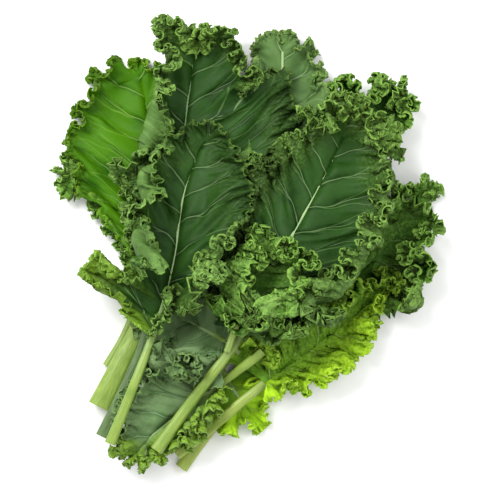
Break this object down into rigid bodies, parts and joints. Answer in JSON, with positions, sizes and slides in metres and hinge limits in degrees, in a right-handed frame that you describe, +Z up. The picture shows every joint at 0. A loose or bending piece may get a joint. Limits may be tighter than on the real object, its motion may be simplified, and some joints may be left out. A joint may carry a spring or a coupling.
{
  "type": "kale bunch",
  "caption": "Loose bunch of cut curly kale leaves lying in a heap, stalks together at one end and ruffled blades fanned out at the other.",
  "frame": {"origin": "on the table, below the middle of the bunch's bounding box", "axes": "+Z up from the table, +Y from the cut stalks towards the leaf tips, +X to the right as seen from above"},
  "size_m": [0.307, 0.3562, 0.0716],
  "materials": {
    "stalk": "smooth, fibrous, pale green",
    "stalk_dark": "smooth, fibrous, grey green",
    "blade": "matt, waxy, dark green with pale veins",
    "blade_bright": "matt, waxy, bright yellow green",
    "blade_underside": "matt, pale grey green underside"
  },
  "bodies": {
    "root": {"far_right_stalk": "stalk", "far_right_blade": "blade", "small_low_stalk": "stalk", "small_low_blade": "blade_bright", "left_low_stalk": "stalk", "left_low_blade": "blade", "top_right_stalk": "stalk", "top_right_blade": "blade", "top_middle_stalk": "stalk", "top_middle_blade": "blade_underside", "top_left_stalk": "stalk_dark", "top_left_blade": "blade", "left_stalk": "stalk", "left_blade": "blade_bright", "low_right_stalk": "stalk", "low_right_blade": "blade_bright", "low_left_stalk": "stalk", "low_left_blade": "blade_underside", "inner_left_stalk": "stalk", "inner_left_blade": "blade_underside", "middle_right_stalk": "stalk", "middle_right_blade": "blade", "middle_left_stalk": "stalk", "middle_left_blade": "blade", "crown_stalk": "stalk", "crown_blade": "blade"}
  },
  "joints": []
}
